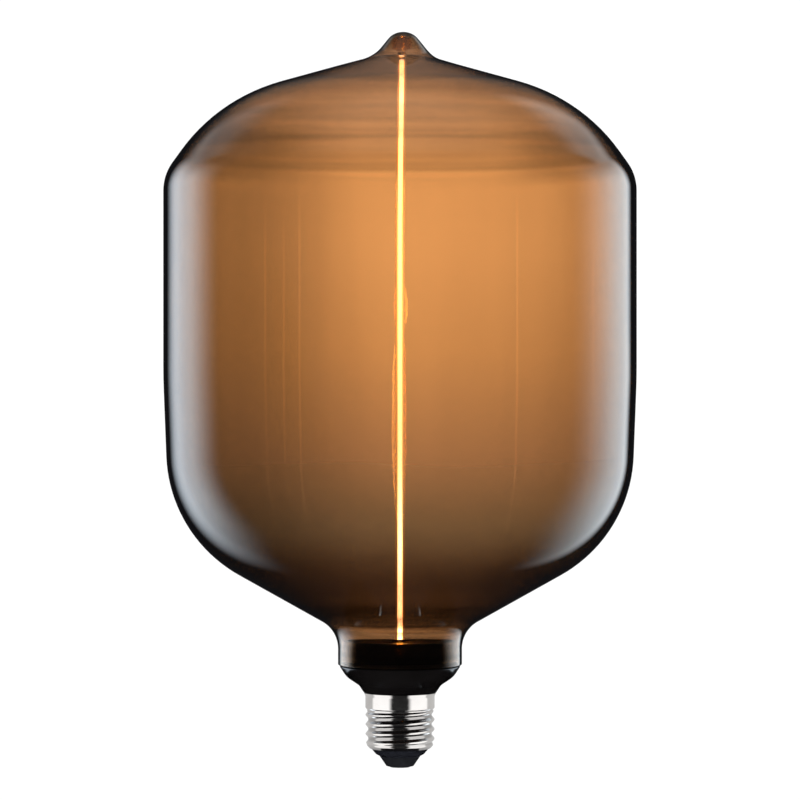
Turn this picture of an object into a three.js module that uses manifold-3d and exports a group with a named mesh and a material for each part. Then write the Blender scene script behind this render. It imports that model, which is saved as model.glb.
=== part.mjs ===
// A large smart filament lamp: a smoked glass tank with one upright LED filament, a black plastic base that
// plugs its neck and holds the driver and the radio, and an E27 screw cap.
// Millimetres. +Z runs up the lamp's axis, and the origin is the flat end of the centre contact.

import * as THREE from "three";
import { mergeVertices } from "three/addons/utils/BufferGeometryUtils.js";
import Module from "manifold-3d";

// Whole lamp
const overallHeight = 280;
const bodyDiameter = 180;
const fitGap = 0.35; // left between pieces that seat in or on each other

// Glass: drops are measured down from the tip, slopes are angles above the horizontal in degrees
const glassWall = 1.2;
const neckDiameter = 47.2;
const neckEnd = 38.9; // height of the cut end of the neck
const neckLength = 13.2; // from the cut end to where the bowl's slope starts
const neckFillet = 12;
const bowlSlope = 29.4;
const bowlFillet = 54;
const wallTaper = 2.2; // lean of the lower wall from the vertical
const taperStart = 148; // height where the wall starts to lean in
const taperFillet = 250;
const shoulderDrop = 55;
const shoulderSlope = 54.4;
const shoulderFillet = 18;
const domeSlope = 16.3;
const domeFillet = 68;
const nubBaseRadius = 11.4;
const nubDrop = 9.6; // from the tip down to the foot of the nub
const nubFootFillet = 14;
const nubTipRadius = 3.6;
const nubTipFillet = 7;

// Filament in its clear tube
const tubeDiameter = 3.6;
const tubeBore = 2.8;
const tubeBottom = 44.2;
const ballDiameter = 7.8;
const ballHeight = 6.4;
const ballFootRise = 0.9; // height in which the tube widens to the ball
const ballFootFillet = 1.2;
const ballTopFillet = 3;
const tubeNeckFillet = 0.4;
const tubeClosedLength = 1; // solid glass between the bore's end and the ball
const filamentWidth = 2.1;
const filamentThickness = 1.1;
const filamentBottom = 47.6;
const terminalWidth = 1.5;
const terminalThickness = 0.35;
const terminalLength = 1.4;
const returnWireDiameter = 0.24;
const returnWireTail = 0.4; // how far it stands out below the tube

// Cap: the E27 screw form
const threadDiameter = 26.3;
const threadPitch = 3.629;
const threadDepth = 1.05;
const shellWall = 0.5;
const shellBottom = 7.2;
const threadBottom = 8.3;
const threadTop = 22.1;
const shellTop = 28.3;
const skirtDiameter = 26.4; // plain band above the thread
const rimFlare = 0.5;
const contactDiameter = 8.2;
const contactThickness = 0.95;
const contactEdge = 0.4; // bevel round its face
const rivetDiameter = 2.4;
const rivetTop = 6.4;
const insulatorRim = 0.4; // the contact's face stands this far below the insulator
const insulatorEndDiameter = 10.3;
const insulatorConeTop = 4.2;
const insulatorConeDiameter = 15.4;
const insulatorStep = 0.7;
const insulatorFloor = 4.6;
const insulatorWall = 1.6;
const insulatorTop = 9.4;

// Base: the plastic plug between cap and glass
const spigotLength = 5.2;
const spigotWall = 1.7;
const flangeOverRim = 0.25; // how far the base stands out past the cap's plain band
const baseWaistHeight = 31.2;
const baseWaistOut = 1.9;
const baseWaistFillet = 3;
const baseBowlHeight = 34.4;
const baseBowlIn = 3.2; // how far the bowl's corner lies inside the neck's outside
const baseBowlFillet = 8;
const baseEdgeIn = 0.5;
const hollowStepIn = 1.4; // the hollow narrows to this far inside its wall, at the height below
const hollowStepHeight = 36.6;
const plugTop = 48.4;
const ribPitch = 1.6;
const ribDepth = 0.7;
const plugWall = 1.7;
const sealHeight = 1.4;
const sealDepth = 1.1;
const coverThickness = 1.4;
const coverLedge = 0.8;
const hubWall = 1.3;
const hubBottom = 43.4;
const grommetWall = 0.9;
const grommetRise = 0.4; // its foot stands this far above the hub's end
const grommetLip = 0.7; // how far its lip reaches past the hub's bore
const grommetLipTaper = 0.5;
const grommetLipTop = 0.9; // height of the lip's top above the cover

// Driver board, upright across the lamp's axis
const boardThickness = 1.2;
const boardBottom = 10.6;
const boardTailWidth = 17;
const boardEdgeGap = 0.8;
const boardTopGap = 0.7;
const boardNotchGap = 1.1;
const tailRise = 1.2; // the tail ends this far above the base's waist
const headRise = 0.6; // the head's full width starts this far above the base's ledge
const headCornerIn = 1.6; // cut corners under the head
const headCornerDrop = 0.9;
const padInset = 1.2; // the filament leads' holes, from the notch's side and down from its floor
const padDrop = 2.2;
const bayGap = 0.6;
const leadDiameter = 1.1;

const facetsLarge = 36;
const facetsSmall = 16;
const facetsCap = 24;
const facetsWire = 6;
const facetsHole = 12;
const threadRows = 6; // rings of points in one turn of the thread
const arcStep = 18; // degrees of turn for each step along a fillet
const radians = THREE.MathUtils.degToRad;

const wasm = await Module();
wasm.setup();

const lamp = new THREE.Group();

function material(color, roughness, metalness, extra = {}) {
  return new THREE.MeshStandardMaterial({ color, roughness, metalness, ...extra });
}

const smokedGlass = material(0x6b4a2e, 0.05, 0, { transparent: true, opacity: 0.45 });
const clearGlass = material(0xe8e2d8, 0.05, 0, { transparent: true, opacity: 0.35 });
const phosphor = material(0xffd98a, 0.6, 0, { emissive: 0xffb347 });
const blackPlastic = material(0x0d0c0c, 0.3, 0);
const greyPlastic = material(0x4a443f, 0.5, 0);
const blackRubber = material(0x161616, 0.8, 0);
const blackEnamel = material(0x0b0b10, 0.15, 0);
const nickel = material(0xc9c5c0, 0.18, 1);
const solder = material(0xb5b3ae, 0.35, 1);
const copper = material(0xb8703c, 0.35, 1);
const boardGreen = material(0x1f5a35, 0.5, 0);
const chipBlack = material(0x18181a, 0.6, 0);
const sleeveBlack = material(0x15151c, 0.4, 0);
const filmYellow = material(0xb98a2d, 0.5, 0);
const ferrite = material(0x2b2a2c, 0.7, 0);
const varistorBlue = material(0x24508c, 0.5, 0);
const resistorTan = material(0xb89b74, 0.6, 0);
const wireRed = material(0x9c1f1a, 0.5, 0);
const wireWhite = material(0xd8d5cc, 0.5, 0);

function add(name, geometry, finish) {
  const mesh = new THREE.Mesh(geometry, finish);
  mesh.name = name;
  lamp.add(mesh);
  return mesh;
}

// Corner points [radius, height, fillet] as an outline whose corners are rounded by arcs. Fillets that don't
// fit on one edge together shrink to share it.
function roundedOutline(corners) {
  const at = corners.map(([radius, height]) => new THREE.Vector2(radius, height));
  const last = at.length - 1;
  const heading = (i) => at[i + 1].clone().sub(at[i]).normalize();
  const turns = at.map((_, i) => {
    if (i === 0 || i === last) return 0;
    const [before, after] = [heading(i - 1), heading(i)];
    return Math.atan2(before.cross(after), before.dot(after));
  });
  const reach = at.map((_, i) => (corners[i][2] ?? 0) * Math.tan(Math.abs(turns[i]) / 2));
  for (let i = 0; i < last; i++) {
    const share = at[i].distanceTo(at[i + 1]) / (reach[i] + reach[i + 1] || 1);
    if (share < 1) [reach[i], reach[i + 1]] = [reach[i] * share, reach[i + 1] * share];
  }
  const outline = [];
  at.forEach((corner, i) => {
    if (!reach[i]) {
      outline.push(corner);
      return;
    }
    const fillet = reach[i] / Math.tan(Math.abs(turns[i]) / 2);
    const side = Math.sign(turns[i]);
    const forward = heading(i - 1);
    const start = corner.clone().addScaledVector(forward, -reach[i]);
    const centre = start.clone().add(new THREE.Vector2(-forward.y, forward.x).multiplyScalar(side * fillet));
    const steps = Math.max(1, Math.ceil(Math.abs(turns[i]) / radians(arcStep)));
    for (let k = 0; k <= steps; k++) {
      outline.push(start.clone().rotateAround(centre, (turns[i] * k) / steps));
    }
  });
  return outline;
}

// The corners of a wall's other side: every edge moved to its left by wall, and every fillet to suit.
function offsetCorners(corners, wall) {
  const normals = corners.slice(1).map(([radius, height], i) => {
    const edge = new THREE.Vector2(radius - corners[i][0], height - corners[i][1]).normalize();
    return new THREE.Vector2(-edge.y, edge.x);
  });
  return corners.map(([radius, height, fillet = 0], i) => {
    const before = normals[Math.max(i - 1, 0)];
    const after = normals[Math.min(i, normals.length - 1)];
    const shift = before.clone().add(after).multiplyScalar(wall / (1 + before.dot(after)));
    const leftTurn = Math.sign(before.cross(after));
    return [radius + shift.x, height + shift.y, fillet && Math.max(fillet - leftTurn * wall, 0)];
  });
}

// An outline turned about the lamp's axis. It starts and ends on the axis, or closes on itself.
function turned(outline, facets) {
  return new THREE.LatheGeometry(outline, facets).rotateX(Math.PI / 2);
}

function closed(outline) {
  return [...outline, outline[0].clone()];
}

function points(...pairs) {
  return pairs.map(([radius, height]) => new THREE.Vector2(radius, height));
}

function box(width, depth, height, x, y, z) {
  return new THREE.BoxGeometry(width, depth, height).translate(x, y, z);
}

// A solid rod along a smooth curve through the given points.
function wire(diameter, steps, ...places) {
  const section = new THREE.Shape().absarc(0, 0, diameter / 2, 0, 2 * Math.PI);
  const curve = new THREE.CatmullRomCurve3(places.map((place) => new THREE.Vector3(...place)));
  return new THREE.ExtrudeGeometry(section, { steps, extrudePath: curve, curveSegments: 4 });
}

function solidOf(geometry) {
  const bare = geometry.index ? geometry.toNonIndexed() : geometry.clone();
  bare.deleteAttribute("normal");
  bare.deleteAttribute("uv");
  const merged = mergeVertices(bare, 1e-4);
  return new wasm.Manifold(
    new wasm.Mesh({
      numProp: 3,
      vertProperties: merged.attributes.position.array,
      triVerts: new Uint32Array(merged.index.array),
    }),
  );
}

function geometryOf(solid) {
  const { vertProperties, triVerts } = solid.getMesh();
  return new THREE.BufferGeometry()
    .setAttribute("position", new THREE.BufferAttribute(vertProperties, 3))
    .setIndex(new THREE.BufferAttribute(triVerts, 1));
}

// Glass envelope. The outside is a chain of corners from the neck's cut end up to the tip.
const bodyRadius = bodyDiameter / 2;
const neckRadius = neckDiameter / 2;
const neckInside = neckRadius - glassWall;

function crossing([x1, y1], slope1, [x2, y2], slope2) {
  const [rise1, rise2] = [Math.tan(slope1), Math.tan(slope2)];
  const x = (y2 - y1 + rise1 * x1 - rise2 * x2) / (rise1 - rise2);
  return [x, y1 + rise1 * (x - x1)];
}

function glassCorners() {
  const neckCorner = [neckRadius, neckEnd + neckLength];
  const taperCorner = [bodyRadius, taperStart];
  const shoulder = [bodyRadius, overallHeight - shoulderDrop];
  const nubFoot = [nubBaseRadius, overallHeight - nubDrop];
  const bowl = crossing(neckCorner, radians(bowlSlope), taperCorner, radians(90 - wallTaper));
  const dome = crossing(shoulder, radians(-shoulderSlope), nubFoot, radians(-domeSlope));
  return [
    [neckRadius, neckEnd],
    [...neckCorner, neckFillet],
    [...bowl, bowlFillet],
    [...taperCorner, taperFillet],
    [...shoulder, shoulderFillet],
    [...dome, domeFillet],
    [...nubFoot, nubFootFillet],
    [nubTipRadius, overallHeight, nubTipFillet],
    [0, overallHeight],
  ];
}

const outside = glassCorners();
const inside = roundedOutline(offsetCorners(outside, glassWall)).reverse();
inside[0].x = 0;
add("glass_envelope", turned([...inside, ...roundedOutline(outside)], facetsLarge), smokedGlass);

// Clear tube: open at the bottom, with a flattened ball at the top that stands in the glass's nub.
const tubeRadius = tubeDiameter / 2;
const ballTop = overallHeight - glassWall - fitGap;
const ballBottom = ballTop - ballHeight;
const boreTop = ballBottom - tubeClosedLength;
const tubeOutline = roundedOutline([
  [0, boreTop],
  [tubeBore / 2, boreTop],
  [tubeBore / 2, tubeBottom],
  [tubeRadius, tubeBottom],
  [tubeRadius, ballBottom, tubeNeckFillet],
  [ballDiameter / 2, ballBottom + ballFootRise, ballFootFillet],
  [ballDiameter / 2, ballTop, ballTopFillet],
  [0, ballTop],
]);
add("filament_tube", turned(tubeOutline, facetsSmall), clearGlass);

// LED filament: a flexible strip in phosphor silicone, with a metal tab at each end and a bare wire beside it
// that brings the upper end's current back down.
const filamentTop = boreTop - terminalLength - 2 * fitGap;
const strip = new THREE.Shape();
const stripSide = (filamentWidth - filamentThickness) / 2;
strip.absarc(stripSide, 0, filamentThickness / 2, -Math.PI / 2, Math.PI / 2);
strip.absarc(-stripSide, 0, filamentThickness / 2, Math.PI / 2, (3 * Math.PI) / 2);
const stripGeometry = new THREE.ExtrudeGeometry(strip, {
  depth: filamentTop - filamentBottom,
  bevelEnabled: false,
  curveSegments: 6,
}).translate(0, 0, filamentBottom);
add("led_filament", stripGeometry, phosphor);

const tabs = [
  ["filament_tab_upper", filamentTop + fitGap],
  ["filament_tab_lower", filamentBottom - fitGap - terminalLength],
];
for (const [name, bottom] of tabs) {
  const middle = bottom + terminalLength / 2;
  add(name, box(terminalWidth, terminalThickness, terminalLength, 0, 0, middle), nickel);
}

const returnWireY = tubeBore / 2 - fitGap / 2 - returnWireDiameter / 2;
const returnWireTop = filamentTop + fitGap + terminalLength;
const returnWireBottom = tubeBottom - returnWireTail;
const returnWire = new THREE.CylinderGeometry(
  returnWireDiameter / 2,
  returnWireDiameter / 2,
  returnWireTop - returnWireBottom,
  facetsWire,
);
returnWire.rotateX(Math.PI / 2).translate(0, returnWireY, (returnWireTop + returnWireBottom) / 2);
add("return_wire", returnWire, copper);

// Screw shell: a thin turned shell whose thread is pressed into the sheet, so that both faces follow it.
const threadCrest = threadDiameter / 2;
const threadMean = threadCrest - threadDepth / 2;
const skirtRadius = skirtDiameter / 2;
const threadSteps = Math.round((threadTop - threadBottom) / (threadPitch / threadRows));

function threadFace(radius) {
  return Array.from({ length: threadSteps + 1 }, (_, i) => [
    radius,
    threadBottom + ((threadTop - threadBottom) * i) / threadSteps,
  ]);
}

function shellGeometry() {
  const outer = [
    [threadMean - threadDepth, shellBottom],
    ...threadFace(threadMean),
    [skirtRadius, threadTop + threadDepth / 2],
    [skirtRadius, shellTop - 2 * rimFlare],
    [skirtRadius + rimFlare, shellTop],
  ];
  const inner = outer.map(([radius, height]) => [radius - shellWall, height]).reverse();
  const geometry = turned(closed(points(...outer, ...inner)), facetsCap);
  const place = geometry.getAttribute("position");
  for (let i = 0; i < place.count; i++) {
    const [x, y, z] = [place.getX(i), place.getY(i), place.getZ(i)];
    const along = (z - threadBottom) / threadPitch;
    const left = (threadTop - z) / threadPitch;
    const strength = THREE.MathUtils.clamp(2 * Math.min(along, left), 0, 1);
    const wave = Math.cos(2 * Math.PI * (z / threadPitch) - Math.atan2(y, x));
    const radius = Math.hypot(x, y);
    const scale = (radius + (strength * threadDepth * wave) / 2) / radius;
    place.setXY(i, x * scale, y * scale);
  }
  return geometry;
}
add("screw_shell", shellGeometry(), nickel);

// Cap insulator and centre contact: the contact's rivet goes up through the insulator.
const contactRadius = contactDiameter / 2;
const rivetRadius = rivetDiameter / 2;
const shellBore = threadMean - threadDepth / 2 - shellWall;
const insulatorRadius = shellBore - 2 * fitGap;
const insulatorOutline = closed(
  points(
    [contactRadius + fitGap, insulatorRim],
    [insulatorEndDiameter / 2, insulatorRim],
    [insulatorConeDiameter / 2, insulatorConeTop],
    [insulatorConeDiameter / 2 + insulatorStep, insulatorConeTop + insulatorStep],
    [threadMean - threadDepth - shellWall - fitGap, shellBottom - fitGap],
    [insulatorRadius - fitGap, insulatorTop],
    [insulatorRadius - insulatorWall, insulatorTop],
    [insulatorConeDiameter / 2 - insulatorWall, insulatorFloor],
    [rivetRadius + fitGap, insulatorFloor],
    [rivetRadius + fitGap, contactThickness + fitGap],
    [contactRadius + fitGap, contactThickness + fitGap],
  ),
);
add("cap_insulator", turned(insulatorOutline, facetsCap), blackEnamel);

const contactOutline = points(
  [0, 0],
  [contactRadius - contactEdge, 0],
  [contactRadius, contactEdge],
  [contactRadius, contactThickness],
  [rivetRadius, contactThickness],
  [rivetRadius, rivetTop],
  [0, rivetTop],
);
add("centre_contact", turned(contactOutline, facetsSmall), solder);

// Base: spigot in the cap, bowl up to the glass, ribbed plug inside the neck, and a hollow for the driver.
const spigotRadius = skirtRadius - shellWall - fitGap;
const spigotBore = spigotRadius - spigotWall;
const spigotBottom = shellTop - spigotLength;
const flangeBottom = shellTop + fitGap;
const plugRadius = neckInside - fitGap;
const ledge = neckEnd - fitGap;
const hollowRadius = plugRadius - ribDepth - plugWall;
const coverRadius = hollowRadius + coverLedge - fitGap;
const coverBottom = plugTop - coverThickness;
const sealBottom = ledge + fitGap;
const sealTop = sealBottom + sealHeight;

function ribCorners() {
  const start = sealTop + fitGap;
  const count = Math.floor((plugTop - start) / ribPitch);
  const valley = plugRadius - ribDepth;
  return Array.from({ length: count }, (_, i) => {
    const foot = start + i * ribPitch;
    return [
      [plugRadius, foot],
      [plugRadius, foot + ribPitch / 2],
      [valley, foot + 0.65 * ribPitch],
      [valley, foot + 0.9 * ribPitch],
    ];
  }).flat();
}

const sealSeat = plugRadius - sealDepth - fitGap / 2;
const baseOutline = roundedOutline([
  [spigotBore, spigotBottom],
  [spigotRadius, spigotBottom],
  [spigotRadius, flangeBottom],
  [skirtRadius + rimFlare + flangeOverRim, flangeBottom],
  [skirtRadius + rimFlare + baseWaistOut, baseWaistHeight, baseWaistFillet],
  [neckRadius - baseBowlIn, baseBowlHeight, baseBowlFillet],
  [neckRadius - baseEdgeIn, ledge],
  [sealSeat, ledge],
  [sealSeat, sealTop + fitGap],
  ...ribCorners(),
  [plugRadius - ribDepth, plugTop],
  [hollowRadius + coverLedge, plugTop],
  [hollowRadius + coverLedge, coverBottom - fitGap],
  [hollowRadius, coverBottom - fitGap],
  [hollowRadius, ledge - fitGap],
  [hollowRadius - hollowStepIn, hollowStepHeight],
  [spigotBore, baseWaistHeight + fitGap],
]);
add("base_housing", turned(closed(baseOutline), facetsLarge), blackPlastic);

// Adhesive ring that bonds the glass to the plug
const sealOutline = closed(
  points(
    [plugRadius - sealDepth + fitGap / 2, sealBottom],
    [plugRadius, sealBottom],
    [plugRadius, sealTop],
    [plugRadius - sealDepth + fitGap / 2, sealTop],
  ),
);
add("neck_adhesive", turned(sealOutline, facetsLarge), blackRubber);

// Cover over the driver, with a hub below it whose grommet grips the tube.
const grommetBore = tubeRadius + fitGap;
const grommetRadius = grommetBore + grommetWall;
const hubBore = grommetRadius + fitGap;
const hubRadius = hubBore + hubWall;
const coverTop = plugTop;
const coverOutline = closed(
  points(
    [hubBore, hubBottom],
    [hubRadius, hubBottom],
    [hubRadius, coverBottom],
    [coverRadius, coverBottom],
    [coverRadius, coverTop],
    [hubBore, coverTop],
  ),
);
add("neck_cover", turned(coverOutline, facetsLarge), greyPlastic);

const grommetOutline = closed(
  points(
    [grommetBore, hubBottom + grommetRise],
    [grommetRadius, hubBottom + grommetRise],
    [grommetRadius, coverTop + fitGap],
    [hubBore + grommetLip, coverTop + fitGap],
    [hubBore + grommetLip - grommetLipTaper, coverTop + grommetLipTop],
    [grommetBore, coverTop + grommetLipTop],
  ),
);
add("tube_grommet", turned(grommetOutline, facetsSmall), blackRubber);

// Driver board: a narrow tail down in the cap and a wide head across the base, notched round the cover's hub.
const headWidth = 2 * (hollowRadius - boardEdgeGap);
const boardTop = coverBottom - boardTopGap;
const headBottom = ledge + headRise;
const notchWidth = 2 * (hubRadius + boardNotchGap);
const notchBottom = hubBottom - boardNotchGap;
const tailHalf = boardTailWidth / 2;
const halfBoard = [
  [tailHalf, boardBottom],
  [tailHalf, baseWaistHeight + tailRise],
  [headWidth / 2 - headCornerIn, headBottom - headCornerDrop],
  [headWidth / 2, headBottom],
  [headWidth / 2, boardTop],
  [notchWidth / 2, boardTop],
  [notchWidth / 2, notchBottom],
];
const boardShape = new THREE.Shape(
  [...halfBoard, ...halfBoard.map(([x, z]) => [-x, z]).reverse()].map(([x, z]) => new THREE.Vector2(x, z)),
);
const boardGeometry = new THREE.ExtrudeGeometry(boardShape, { depth: boardThickness, bevelEnabled: false });
boardGeometry.rotateX(Math.PI / 2).translate(0, boardThickness / 2, 0);

// The holes that the filament's two leads are soldered in
const leadHole = leadDiameter + 2 * fitGap;
const padX = notchWidth / 2 - padInset;
const padZ = notchBottom - padDrop;
let boardSolid = solidOf(boardGeometry);
for (const side of [-1, 1]) {
  const drill = new THREE.CylinderGeometry(leadHole / 2, leadHole / 2, 3 * boardThickness, facetsHole);
  boardSolid = boardSolid.subtract(solidOf(drill.translate(side * padX, 0, padZ)));
}
add("driver_board", geometryOf(boardSolid), boardGreen);

// Parts on the board, which stand this far from its middle plane: +Y is its front and -Y its back
const surface = boardThickness / 2 + fitGap;
const headMiddle = (headBottom + boardTop) / 2;
const bayStart = notchWidth / 2 + bayGap; // where the head's two bays begin, right and left of the hub

const reservoir = { radius: 4, height: 13, bottom: boardBottom + 2, footFillet: 0.5, topFillet: 0.8 };
const reservoirOutline = roundedOutline([
  [0, 0],
  [reservoir.radius, 0, reservoir.footFillet],
  [reservoir.radius, reservoir.height, reservoir.topFillet],
  [0, reservoir.height],
]);
const reservoirGeometry = turned(reservoirOutline, facetsSmall);
reservoirGeometry.translate(0, surface + reservoir.radius, reservoir.bottom);
add("reservoir_capacitor", reservoirGeometry, sleeveBlack);

const varistorRadius = 3.2;
const varistorThickness = 2.2;
const varistor = new THREE.CylinderGeometry(varistorRadius, varistorRadius, varistorThickness, facetsSmall);
const varistorZ = reservoir.bottom + reservoir.height + bayGap + varistorRadius;
varistor.translate(0, surface + varistorThickness / 2, varistorZ);
add("surge_varistor", varistor, varistorBlue);

// Choke: a drum core on its side, wound between its flanges
const chokeRadius = 3.4;
const chokeX = -(bayStart + chokeRadius);
const chokeLength = 6.6;
const flangeThickness = 1.2;
const waistRadius = 1.5;
const chokeTurn = (outline) =>
  new THREE.LatheGeometry(outline, facetsSmall).translate(chokeX, surface, headMiddle);
const drum = points(
  [0, 0],
  [chokeRadius, 0],
  [chokeRadius, flangeThickness],
  [waistRadius, flangeThickness],
  [waistRadius, chokeLength - flangeThickness],
  [chokeRadius, chokeLength - flangeThickness],
  [chokeRadius, chokeLength],
  [0, chokeLength],
);
add("choke_core", chokeTurn(drum), ferrite);
const winding = closed(
  points(
    [waistRadius + fitGap, flangeThickness + fitGap],
    [chokeRadius - fitGap, flangeThickness + fitGap],
    [chokeRadius - fitGap, chokeLength - flangeThickness - fitGap],
    [waistRadius + fitGap, chokeLength - flangeThickness - fitGap],
  ),
);
add("choke_winding", chokeTurn(winding), copper);

const film = { width: 7.5, depth: 4.2, height: 6 };
const filmPlace = [bayStart + film.width / 2, surface + film.depth / 2, headMiddle];
add("film_capacitor", box(film.width, film.depth, film.height, ...filmPlace), filmYellow);

const fuse = { radius: 1.3, length: 6.4, middle: boardBottom + 12 };
const fuseGeometry = new THREE.CylinderGeometry(fuse.radius, fuse.radius, fuse.length, facetsSmall);
fuseGeometry.rotateX(Math.PI / 2);
fuseGeometry.translate(fuse.radius + bayGap - tailHalf, -surface - fuse.radius, fuse.middle);
add("fusible_resistor", fuseGeometry, resistorTan);

// Surface-mounted packages on the back of the board, each with a row of legs down both sides
const legReach = 0.8;
const legWidth = 0.42;
const legThickness = 0.25;

function packageGeometry({ width, thickness, height, legs }, x, z) {
  const y = -(surface + thickness / 2);
  const legSpan = width + 2 * legReach;
  const pitch = height / legs;
  let solid = solidOf(box(width, thickness, height, x, y, z));
  for (let i = 0; i < legs; i++) {
    const legZ = z + (i - (legs - 1) / 2) * pitch;
    solid = solid.add(solidOf(box(legSpan, legThickness, legWidth, x, y, legZ)));
  }
  return geometryOf(solid);
}
const rectifier = { width: 4, thickness: 1.6, height: 4.7, legs: 2 };
const rectifierX = 2.6;
const rectifierZ = boardBottom + 7.5;
add("bridge_rectifier", packageGeometry(rectifier, rectifierX, rectifierZ), chipBlack);
const chip = { width: 3.9, thickness: 1.5, height: 4.9, legs: 4 };
const chipX = -(bayStart + legReach + chip.width / 2);
add("driver_chip", packageGeometry(chip, chipX, headMiddle), chipBlack);

// Radio module: a small board as wide as its bay, with a shield can and, at its outer end, a printed antenna
const radioHeight = 6.8;
const radioThickness = 0.8;
const radioRight = headWidth / 2 - fitGap;
const radioLeft = notchWidth / 2;
const radioY = -(surface + radioThickness / 2);
const radioPlace = [(radioLeft + radioRight) / 2, radioY, headMiddle];
add("radio_board", box(radioRight - radioLeft, radioThickness, radioHeight, ...radioPlace), boardGreen);

const antennaWidth = 4.4;
const shieldThickness = 1.6;
const shieldMargin = 0.5;
const shieldWidth = radioRight - radioLeft - antennaWidth - shieldMargin;
const radioFace = radioY - radioThickness / 2 - fitGap;
const shieldHeight = radioHeight - 2 * shieldMargin;
const shieldPlace = [radioLeft + shieldMargin + shieldWidth / 2, radioFace - shieldThickness / 2, headMiddle];
add("radio_shield", box(shieldWidth, shieldThickness, shieldHeight, ...shieldPlace), nickel);

// A meander: upright bars joined at the top and the bottom in turn
function antennaGeometry() {
  const bars = 5;
  const track = 0.4;
  const depth = 0.2;
  const margin = 0.7;
  const reach = radioHeight - 2 * margin;
  const left = radioRight - antennaWidth + margin;
  const step = (antennaWidth - 2 * margin) / (bars - 1);
  const y = radioFace - depth / 2;
  let solid = solidOf(box(track, depth, reach, left, y, headMiddle));
  for (let i = 1; i < bars; i++) {
    const end = headMiddle + ((i % 2 ? 1 : -1) * (reach - track)) / 2;
    const link = solidOf(box(step + track, depth, track, left + (i - 0.5) * step, y, end));
    solid = solid.add(link).add(solidOf(box(track, depth, reach, left + i * step, y, headMiddle)));
  }
  return geometryOf(solid);
}
add("radio_antenna", antennaGeometry(), copper);

// Leads: mains in from the cap, and the filament's two from under the tube to the board's holes. Each goes
// through a few places and ends flat on the board's back or in its hole.
const leadSteps = 14;
const livePad = [-1.6, boardBottom + 5];
const neutralPad = [tailHalf - 1.2, boardBottom + 3];
const neutralSide = radians(-40); // where round the shell the neutral lead is soldered
const backFace = -(surface + leadDiameter / 2);
const frontFace = surface + leadDiameter / 2;
add(
  "live_lead",
  wire(
    leadDiameter,
    leadSteps,
    [0, 0, rivetTop + fitGap],
    [0, backFace / 2, rivetTop + 2],
    [livePad[0] + 0.4, backFace - 0.6, boardBottom + 1],
    [livePad[0], backFace, livePad[1]],
  ),
  wireRed,
);
const solderRadius = shellBore - leadDiameter / 2 - fitGap;
const [solderX, solderY] = [solderRadius * Math.cos(neutralSide), solderRadius * Math.sin(neutralSide)];
add(
  "neutral_lead",
  wire(
    leadDiameter,
    leadSteps,
    [solderX, solderY, threadBottom + 9],
    [solderX, solderY, threadBottom + 6],
    [neutralPad[0], backFace - 1.4, neutralPad[1] + 2.4],
    [neutralPad[0], backFace, neutralPad[1]],
  ),
  wireWhite,
);
const leadNames = { "-1": "filament_lead_negative", 1: "filament_lead_positive" };
for (const side of [-1, 1]) {
  const route = [
    [0, side * frontFace, hubBottom],
    [side * 0.3 * padX, side * (frontFace + 0.2), notchBottom - 0.9],
    [side * 0.85 * padX, side * (frontFace + 0.5), padZ + 0.1],
    [side * padX, side * frontFace, padZ],
    [side * padX, 0, padZ],
  ];
  add(leadNames[side], wire(leadDiameter, leadSteps, ...route), side > 0 ? wireRed : wireWhite);
}

export default lamp;
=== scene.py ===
"""A large smart filament lamp, finished for rendering: smoked tank, lit filament, black base and E27 cap.

Metres. +Z runs up the lamp's axis from the flat end of the centre contact.
"""

import math

import bpy
import numpy as np
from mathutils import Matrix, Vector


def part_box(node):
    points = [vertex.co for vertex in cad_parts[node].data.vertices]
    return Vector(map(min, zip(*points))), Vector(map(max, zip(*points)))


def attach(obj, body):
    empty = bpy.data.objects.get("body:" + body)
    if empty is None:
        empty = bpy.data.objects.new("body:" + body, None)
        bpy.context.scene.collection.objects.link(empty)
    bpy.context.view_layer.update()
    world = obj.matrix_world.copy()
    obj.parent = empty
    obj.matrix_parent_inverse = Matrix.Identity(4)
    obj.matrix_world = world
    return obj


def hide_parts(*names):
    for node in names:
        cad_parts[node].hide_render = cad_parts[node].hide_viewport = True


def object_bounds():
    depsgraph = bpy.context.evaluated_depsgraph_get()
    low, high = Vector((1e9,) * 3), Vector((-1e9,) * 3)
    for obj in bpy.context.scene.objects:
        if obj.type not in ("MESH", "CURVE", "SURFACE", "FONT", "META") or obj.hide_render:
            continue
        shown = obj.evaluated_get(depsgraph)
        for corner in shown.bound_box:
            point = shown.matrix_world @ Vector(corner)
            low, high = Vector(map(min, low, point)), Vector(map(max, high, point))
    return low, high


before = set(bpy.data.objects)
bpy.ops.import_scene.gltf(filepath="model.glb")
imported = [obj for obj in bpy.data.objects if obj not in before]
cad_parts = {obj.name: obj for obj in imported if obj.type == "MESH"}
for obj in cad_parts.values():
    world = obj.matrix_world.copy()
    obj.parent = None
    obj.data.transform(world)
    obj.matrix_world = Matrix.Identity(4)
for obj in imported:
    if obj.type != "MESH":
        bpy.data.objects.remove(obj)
cad_box = [list(corner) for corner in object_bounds()]
lamp_height = cad_box[1][2]

# Camera
# A long lens looks level along +Y at the middle of the lamp, as a catalogue picture is taken.
camera_distance = 1.3
view_width = 0.30484
camera_drop = 0.0002

camera_data = bpy.data.cameras.new("camera")
camera_data.sensor_width = 36
camera_data.lens = camera_data.sensor_width * camera_distance / view_width
camera = bpy.data.objects.new("camera", camera_data)
camera.location = (0, -camera_distance, lamp_height / 2 - camera_drop)
camera.rotation_euler = (math.pi / 2, 0, 0)
bpy.context.scene.collection.objects.link(camera)
bpy.context.scene.camera = camera
bpy.context.scene.view_settings.view_transform = "Standard"

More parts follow.
